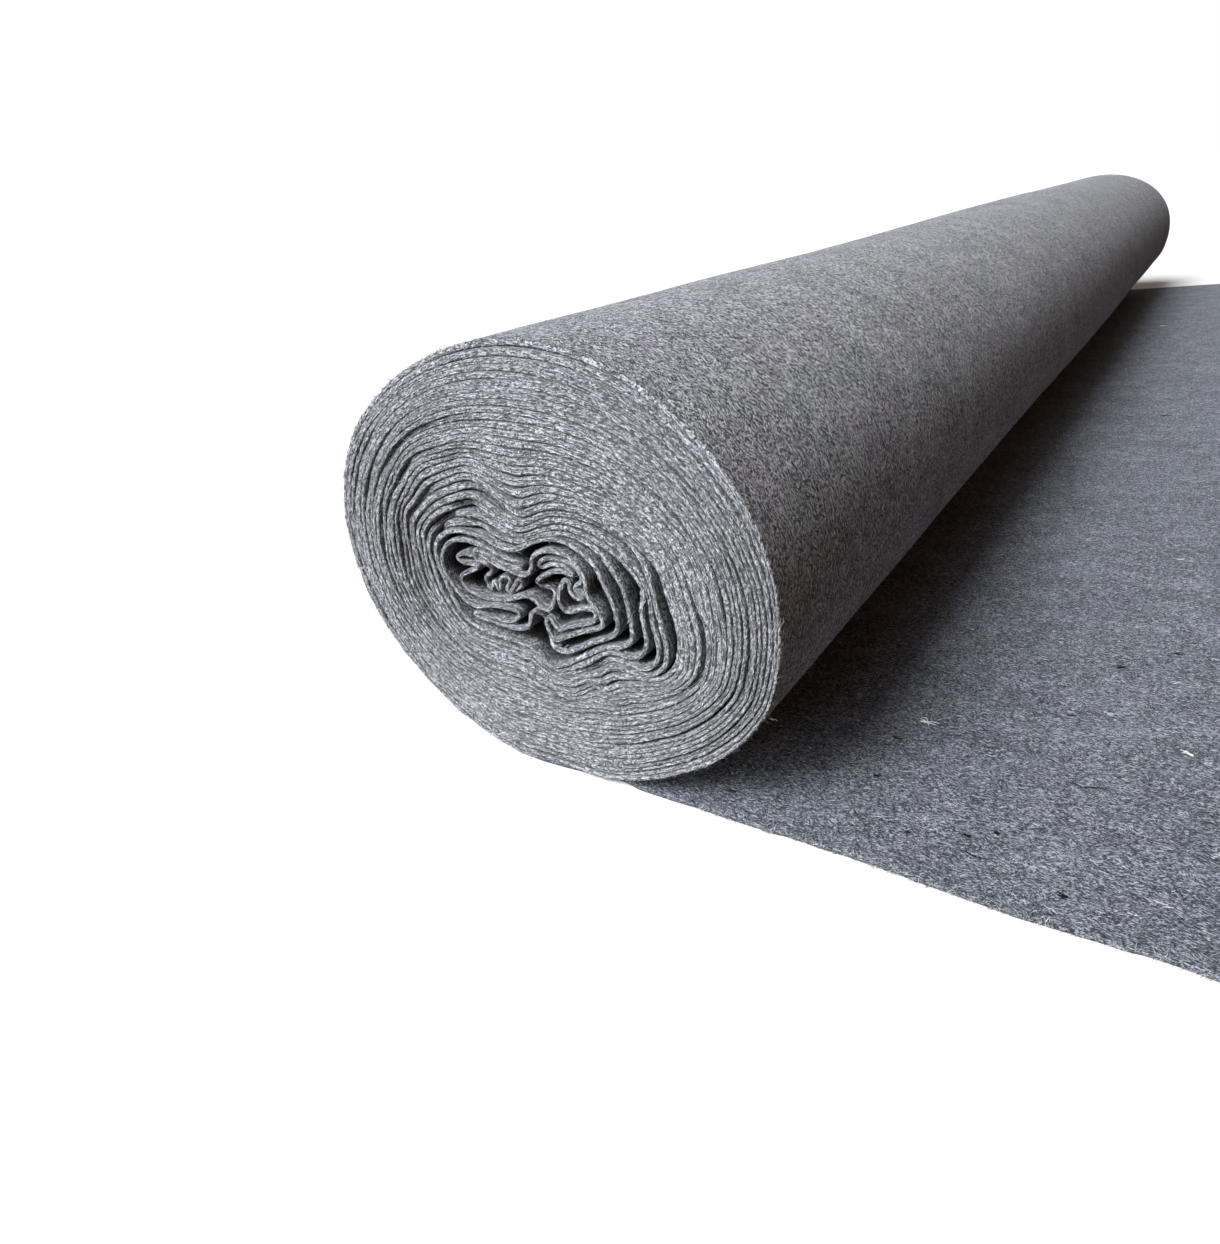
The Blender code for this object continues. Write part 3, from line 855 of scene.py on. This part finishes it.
# Places on a scale from 0 to 1, and the felt's shades there, from its darkest fibres to its lightest
OUTER_SHADES = (
    (0.0, "#383b42"), (0.3, "#6b6f78"), (0.5, "#90949e"), (0.7, "#b3b7c1"), (1.0, "#ebeef5"),
)
# The loose end's felt, darker and bluer than the roll's: partly its inner face's own tone, partly painted
# shade
INNER_FACE_TONES_AND_PAINTED_SHADE = (
    (0.0, "#1c2028"), (0.3, "#404651"), (0.5, "#5e6571"), (0.7, "#7e8594"), (1.0, "#b8bdca"),
)
FIBRE_WEB = (
    # angle from the cloth's length, long and wide in mm, finer layers, share
    (3, 2.0, 0.65, 1.0, 0.36), (33, 1.8, 0.65, 1.0, 0.32), (-28, 1.8, 0.65, 1.0, 0.32),
    (12, 0.9, 0.6, 1.0, 0.55),
)
OUTER_WEB = FIBRE_WEB + (
    (-8, 2.6, 1.1, 0.0, 0.28), (0, 3.2, 2.6, 1.0, 0.14), (0, 8.0, 6.5, 1.0, 0.09),
    (0, 25.0, 20.0, 1.0, 0.07), (0, 70.0, 50.0, 1.0, 0.05),
)
INNER_WEB = FIBRE_WEB + (
    (-8, 3.0, 1.3, 0.0, 0.14), (0, 3.2, 2.6, 1.0, 0.12), (0, 8.0, 6.5, 1.0, 0.11),
    (0, 25.0, 20.0, 1.0, 0.10), (0, 70.0, 50.0, 1.0, 0.07),
)
STRAY_FIBRES = (
    # angle, long and wide in mm, where it starts to show, shade, and how fully it covers
    (33, 3.0, 0.8, 0.70, "#1b1c1f", 0.85), (-12, 2.6, 1.0, 0.71, "#1b1c1f", 0.80),
    (14, 3.6, 0.7, 0.70, "#e6e8ec", 0.70), (-41, 3.0, 0.8, 0.71, "#e6e8ec", 0.65),
)
PATCH_TINTS = ((0.38, "#f1f8f6"), (0.62, "#fbf9ff"))
FIBRE_SHADES = ((0.0, "#0c0c0e"), (0.5, "#85888e"), (1.0, "#f6f7f9"))
FLOOR_SHADES = ((0.0, "#f5f6f8"), (1.0, "#fafbfc"))


def grey_felt(name, shades, web, tone_range):
    """Needle-punched felt of recycled polyester fibres, mostly grey with white and black ones.

    The fibres give the eye fine crossed streaks, salt-and-pepper grain and soft cloudy patches.
    They are much finer than the render can show, so they are drawn as strands a millimetre wide.
    The surface is quite matt, with a faint sheen of loose fibre ends. Cut edges look lighter,
    because there the fibres stand up."""
    material, tree, shader = new_material(name)
    cloth = add_node(tree, "UVMap", uv_map="cloth")
    edge, groove, deep = (add_node(tree, "Attribute", out="Fac", attribute_name=key)
                          for key in ("edge", "groove", "deep"))

    # Fibres bend, so the streaks' coordinates wander by a millimetre or two
    bend = add_node(tree, "TexNoise", {"Vector": cloth, "Scale": 1000.0 / 14, "Detail": 1.0}, "Color")
    bend = add_node(tree, "VectorMath", {0: bend, 1: (0.5, 0.5, 0.5)}, operation="SUBTRACT")
    bend = add_node(tree, "VectorMath", {0: bend, "Scale": 0.008}, operation="SCALE")
    bent = add_node(tree, "VectorMath", {0: cloth, 1: bend}, operation="ADD")

    tone = 0.0
    for angle, long_mm, wide_mm, finer, share in web:
        shift = (angle * 0.37, angle * 0.11, long_mm * 0.7)
        streaks = strands(tree, bent, angle, long_mm, wide_mm, shift, finer, 0.85)
        tone = add_node(tree, "Math", {0: streaks, 1: share, 2: tone}, operation="MULTIPLY_ADD")
    # On a cut edge the fibres of each layer lie along the cloth
    layers = strands(tree, cloth, 0, 4.5, 0.65, (3.3, 1.7, 0), 1.0)
    layers = add_node(tree, "Math", {0: layers, 1: 0.5}, operation="SUBTRACT")
    layers = add_node(tree, "Math", {0: layers, 1: edge}, operation="MULTIPLY")
    tone = add_node(tree, "Math", {0: layers, 1: EDGE_LAYERS, 2: tone}, operation="MULTIPLY_ADD")
    middle = sum(row[4] for row in web) / 2
    shown = add_node(tree, "MapRange", {
        "Value": tone, "From Min": middle - tone_range, "From Max": middle + tone_range})
    colour = add_node(tree, "ValToRGB", {"Fac": shown}, stops=shades)

    for angle, long_mm, wide_mm, shows_at, shade, cover in STRAY_FIBRES:
        shift = (angle * 0.23, angle * 0.17, 9.0 + angle)
        strand = strands(tree, bent, angle, long_mm, wide_mm, shift, 0.0)
        strand = add_node(tree, "MapRange", {
            "Value": strand, "From Min": shows_at, "From Max": shows_at + 0.09, "To Max": cover})
        colour = add_node(tree, "Mix", {0: strand, 6: colour, 7: linear(shade)}, 2, data_type="RGBA")

    patches = add_node(tree, "TexNoise", {"Vector": bent, "Scale": 1000.0 / 38, "Detail": 2.0})
    tint = add_node(tree, "ValToRGB", {"Fac": patches}, stops=PATCH_TINTS)
    colour = add_node(tree, "Mix", {0: 1.0, 6: colour, 7: tint}, 2, data_type="RGBA", blend_type="MULTIPLY")
    # The cut edges lie in each other's shade where they touch, here more and there less
    uneven = add_node(tree, "TexNoise", {"Vector": cloth, "Scale": 1000.0 / 16, "Detail": 2.0})
    uneven = add_node(tree, "MapRange", {
        "Value": uneven, "From Min": 0.35, "From Max": 0.65, "To Min": 0.22, "To Max": 1.0})
    # Between the turns hardly any light comes back out, and the felt looks nearly black
    for value, cover, shade in ((groove, uneven, GROOVE_SHADE), (deep, DEEP_COVER, DEEP_SHADE),
                                (edge, EDGE_COVER, EDGE_SHADE)):
        cover = add_node(tree, "Math", {0: value, 1: cover}, operation="MULTIPLY")
        colour = add_node(tree, "Mix", {0: cover, 6: colour, 7: linear(shade)}, 2, data_type="RGBA")
    bump = add_node(tree, "Bump", {"Height": tone, "Strength": 1.0, "Distance": BUMP_HEIGHT})
    fill(tree, shader, {"Base Color": colour, "Normal": bump, "Roughness": 0.95,
                        "Specular IOR Level": 0.15, "Sheen Weight": 0.12, "Sheen Roughness": 0.5})
    return material


def polyester_fibre(name):
    """Loose polyester fibres: white, grey and black ones, slightly shiny along their length."""
    material, tree, shader = new_material(name)
    tone = add_node(tree, "Attribute", out="Fac", attribute_name="tone")
    place = add_node(tree, "TexCoord", out="Object")
    uneven = add_node(tree, "TexNoise", {"Vector": place, "Scale": 1000.0 / 2.5, "Detail": 1.0})
    tone = add_node(tree, "Math", {0: uneven, 1: 0.25, 2: tone}, operation="MULTIPLY_ADD")
    tone = add_node(tree, "Math", {0: tone, 1: 0.125}, operation="SUBTRACT")
    colour = add_node(tree, "ValToRGB", {"Fac": tone}, stops=FIBRE_SHADES)
    fill(tree, shader, {"Base Color": colour, "Roughness": 0.6, "Specular IOR Level": 0.3, "IOR": 1.57})
    return material


def plain_floor(name):
    """Matt painted board: one pale tone with the faintest unevenness."""
    material, tree, shader = new_material(name)
    place = add_node(tree, "TexCoord", out="Object")
    patches = add_node(tree, "TexNoise", {"Vector": place, "Scale": 3.0})
    tone = add_node(tree, "ValToRGB", {"Fac": patches}, stops=FLOOR_SHADES)
    fill(tree, shader, {"Base Color": tone, "Roughness": 0.9, "Specular IOR Level": 0.1})
    return material


# Camera, lights and floor


def place_camera():
    """The photograph's view: close to the near end, looking down along the roll."""
    lens = bpy.data.cameras.new("camera")
    lens.sensor_width = SENSOR_WIDTH
    lens.lens = LENS
    lens.clip_start = 0.01
    camera = new_object("camera", lens)
    yaw, pitch, tilt = CAMERA_TURNS
    camera.matrix_world = (
        Matrix.Translation(CAMERA_PLACE) @ Matrix.Rotation(-yaw, 4, "Z")
        @ Matrix.Rotation(math.pi / 2 - pitch, 4, "X") @ Matrix.Rotation(tilt, 4, "Z"))
    bpy.context.scene.camera = camera


def sun_light(name, toward, spread_degrees, strength, shade):
    """A soft light from one side of the room."""
    lamp = bpy.data.lights.new(name, "SUN")
    lamp.angle = math.radians(spread_degrees)
    lamp.energy = strength
    lamp.color = linear(shade)[:3]
    aim = -Vector(toward)
    new_object(name, lamp).matrix_world = aim.to_track_quat("-Z", "Y").to_matrix().to_4x4()


def light_scene():
    """A window in front, left and above, softer lights beside it, and weak fills, two of them warm."""
    world = bpy.data.worlds.new("studio")
    bpy.context.scene.world = world
    world.use_nodes = True
    backdrop = world.node_tree.nodes["Background"]
    fill(world.node_tree, backdrop, {"Color": linear(WORLD_COLOUR), "Strength": 1.0})
    # The white all round shows behind the roll, and gives no light
    world.cycles_visibility.diffuse = False
    world.cycles_visibility.glossy = False
    for row in LIGHTS:
        sun_light(*row)
    bpy.context.scene.view_settings.view_transform = "Standard"


def floor_board():
    bm = bmesh.new()
    bmesh.ops.create_grid(bm, x_segments=1, y_segments=1, size=30)
    mesh = bpy.data.meshes.new("floor")
    bm.to_mesh(mesh)
    bm.free()
    mesh.materials.append(plain_floor("pale matt board"))
    board = new_object("floor", mesh)
    # The white floor throws no light up at the felt, as in the photograph
    board.visible_diffuse = False


# The pieces


def loose_end(felt):
    """The last half metre, flat on the floor and slightly uneven, up to under the roll."""
    start, end = LOOSE_END_X, (LIFT_X - 1) * MM
    along = np.concatenate([[0, 0.3, 1.0], np.arange(2.5, (start - end) / MM, 2.5)]) * MM
    places = np.column_stack([start - along, np.full(len(along), FLOOR_LINE * MM)])
    top_rows = np.concatenate([[3.0, 7.0], np.linspace(14, 1986, 236), [1993.0]]) * MM
    stations = section_stations(top_rows, [0.01, 1.99])
    half = np.full(len(along), HALF_THICK)
    half[:3] *= (0.4, 0.8, 0.95)
    half[-1] *= 0.8
    # Its near edge goes over into the outer turn's
    near = (LOOSE_NEAR_BACK + strays(along, LOOSE_NEAR_STRAYS)) * MM
    over = eased(np.clip((0.045 - places[:, 0]) / 0.065, 0, 1))
    near += (near_end_back(np.zeros(1), np.zeros(1)) - near) * over
    far = (LOOSE_FAR_BACK + strays(along, LOOSE_FAR_STRAYS)) * MM
    points, _ = sheet_rows(places, stations, half, near, far)
    across = stations[:, 0]
    bare = np.clip((places[:, 0] - 0.05) / 0.03, 0, 1)[:, None]
    from_edge = np.clip(np.minimum(across, CLOTH_WIDTH - across) / (12 * MM), 0, 1)
    high = unevenness(along, across, LOOSE_BUMPS) * MM * bare * from_edge
    points[..., 2] += np.where(stations[:, 1] < 0, high, 0)
    # The near edge lifts off the floor here and there
    lift = np.maximum(strays(along, LOOSE_LIFTS), 0)[:, None] * MM * bare
    points[..., 2] += lift * np.clip(1 - across / (18 * MM), 0, 1) ** 1.5
    # The cut end strays sideways a little
    cut = (strays(across, LOOSE_CUT_STRAYS) - LOOSE_CUT_BACK) * MM
    points[..., 0] += cut * np.clip(1 - along / 0.03, 0, 1)[:, None]
    piece = cloth_piece("loose_end_cloth", points, along, stations, felt, 0, 0)
    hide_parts("loose_end")
    return points, stations


def outer_turn(winding, half, felt):
    """The outermost turn, whose outer face shows over the whole width."""
    at, places, thick = stretch(winding, half, 0.0, OUTER_END, TURN_STEPS[0] * MM)
    thick[-1] *= 0.9
    outer_rows = np.concatenate([[3.0, 5.0, 9.0], np.linspace(16, 1984, 152), [1991.0, 1996.0]]) * MM
    stations = section_stations([0.006, 0.05, 1.95, 1.994], outer_rows)
    near = near_end_back(places[:, 2], at)
    far = far_end_back(places[:, 2], at)
    points, normal = sheet_rows(places, stations, thick, near, far, near_rounding(places[:, 2], at))
    points += 0.4 * fibrous(points.shape, stations, at, 41)
    across = stations[:, 0]
    swell = unevenness(at, across, OUTER_BUMPS) * MM
    from_edge = np.clip(np.minimum(across, CLOTH_WIDTH - across) / (50 * MM), 0, 1)
    swell += looked_up(OUTER_WAIST, across) * MM
    above = np.clip((places[:, 1] - 8 * MM) / (20 * MM), 0, 1)[:, None]
    # The outer face may dip, but never through the cloth to the turn below
    swell = np.maximum(swell * from_edge * above, LEAST_COVER - thick[:, None])
    swell = np.where(stations[:, 1] > 0, swell, 0)
    points[..., 0] += swell * normal[:, 0, None]
    points[..., 2] += swell * normal[:, 1, None]
    # The outer face's near corner gets some of the grooves' painted shade too, though no turn lies on it; it
    # dims the rim's bright corner
    piece = cloth_piece("outer_turn_cloth", points, at + 0.47, stations, felt, 1, 0.6)
    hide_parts("roll")
    return points, stations


def wound_turns(winding, half, felt):
    """The rest of the winding, in two stretches."""
    stations = section_stations([0.0025, 0.009], [0.0025, 0.009])
    return [wound_piece(name, winding, half, first, last, step * MM, stations, felt)
            for (name, first, last), step in zip(WOUND_PIECES, TURN_STEPS[1:])]


def face_fibres(outer, middle, inner, material):
    """Fibres that stand out of the near cut edges, mostly along the turns."""
    rng = np.random.default_rng(81)
    turns = (outer, middle, inner)
    edge = (0, len(NEAR_EDGE) - 1)
    shares = [len(points) * step for points, step in zip(turns, TURN_STEPS)]
    spots = [strewn(points, (0, len(points) - 1), edge, int(FACE_FIBRES * share / sum(shares)), rng)
             for points, share in zip(turns, shares)]
    fibres = laid_fibres(np.concatenate(spots, axis=1), *FACE_LAY, rng)
    rim = strewn(outer, (0, len(outer) - 1), (edge[1] - 1, edge[1]), RIM_FIBRES, rng)
    fibres = together(fibres, laid_fibres(rim, *RIM_LAY, rng))
    tones = mixed_tones(len(fibres[0]), rng)
    tones[-RIM_FIBRES:] *= 0.5
    wide = FIBRE_HALF_WIDE * rng.uniform(0.7, 1.5, len(tones))
    wide[-RIM_FIBRES:] *= 0.75
    fibre_piece("face_fibres", fibres, tones, wide, material)


def surface_fibres(outer, outer_stations, loose, loose_stations, material):
    """Fibres that lie on the roll and on the loose end, more of them near the front."""
    rng = np.random.default_rng(82)
    bare = np.flatnonzero(loose[:, 0, 0] > 0.09)
    spots = []
    for points, stations, side, rows, reaches, count in (
            (outer, outer_stations, 1, (6, len(outer) - 10), (0.35, 1.0), ROLL_FIBRES),
            (loose, loose_stations, -1, (3, bare[-1]), (0.45, 1.4), SHEET_FIBRES)):
        for reach, number in zip(reaches, (count * 2 // 3, count // 3)):
            columns = np.flatnonzero((stations[:, 1] == side) & (stations[:, 0] < reach))
            spots.append(strewn(points, rows, (columns[0], columns[-1]), number, rng))
    fibres = laid_fibres(np.concatenate(spots, axis=1), *SURFACE_LAY, rng)
    fringe = strewn(loose, (3, bare[-1]), (0, len(NEAR_EDGE) - 1), FRINGE_FIBRES, rng)
    fibres = together(fibres, laid_fibres(fringe, *FRINGE_LAY, rng))
    tones = mixed_tones(len(fibres[0]), rng)
    wide = FIBRE_HALF_WIDE * rng.uniform(0.6, 1.2, len(tones))
    fibre_piece("surface_fibres", fibres, tones, wide, material)


def lint(material):
    """Flecks, specks and hairs caught on the loose end, and tufts at the rim."""
    rng = np.random.default_rng(83)
    spots = []
    for x, y, long, number, tone in LINT:
        angle = rng.uniform(-0.6, 0.6)
        along = np.array([math.cos(angle), math.sin(angle), 0])
        across = np.array([-math.sin(angle), math.cos(angle), 0])
        at = np.array([x, y, LINT_HIGH]) * MM
        spots.append((at, along, across, np.array([0, 0, 1.0]), long, number, tone))
    for x, z, long, number, tone in TUFT:
        out = np.array([x, 0, z - AXIS_HIGH])
        out /= np.linalg.norm(out)
        at = np.array([x, TUFT_Y, z]) * MM
        spots.append((at, out, np.array([0, 1.0, 0]), np.array([-out[2], 0, out[0]]), long, number, tone))
    fibres, tones = clumps(spots, rng)
    # The white and the black ones are clumps of many fibres, and so thicker
    wide = np.where(np.abs(tones - 0.55) > 0.36, CLUMP_THICK, HAIR_THICK)
    fibre_piece("lint", fibres, tones, FIBRE_HALF_WIDE * wide, material)


place_camera()
light_scene()
floor_board()
winding = whole_winding()
half = half_thickness(winding)
felt = grey_felt("needle-punched grey felt", OUTER_SHADES, OUTER_WEB, 0.098)
# The loose end gets a darker copy of the felt: partly its own tone, partly painted shade
inner_felt_and_painted_shade = grey_felt("needle-punched grey felt, inner face and painted shade", INNER_FACE_TONES_AND_PAINTED_SHADE, INNER_WEB, 0.145)
loose, loose_stations = loose_end(inner_felt_and_painted_shade)
outer, outer_stations = outer_turn(winding, half, felt)
middle, inner = wound_turns(winding, half, felt)
fibre = polyester_fibre("loose polyester fibre")
face_fibres(outer, middle, inner, fibre)
surface_fibres(outer, outer_stations, loose, loose_stations, fibre)
lint(fibre)
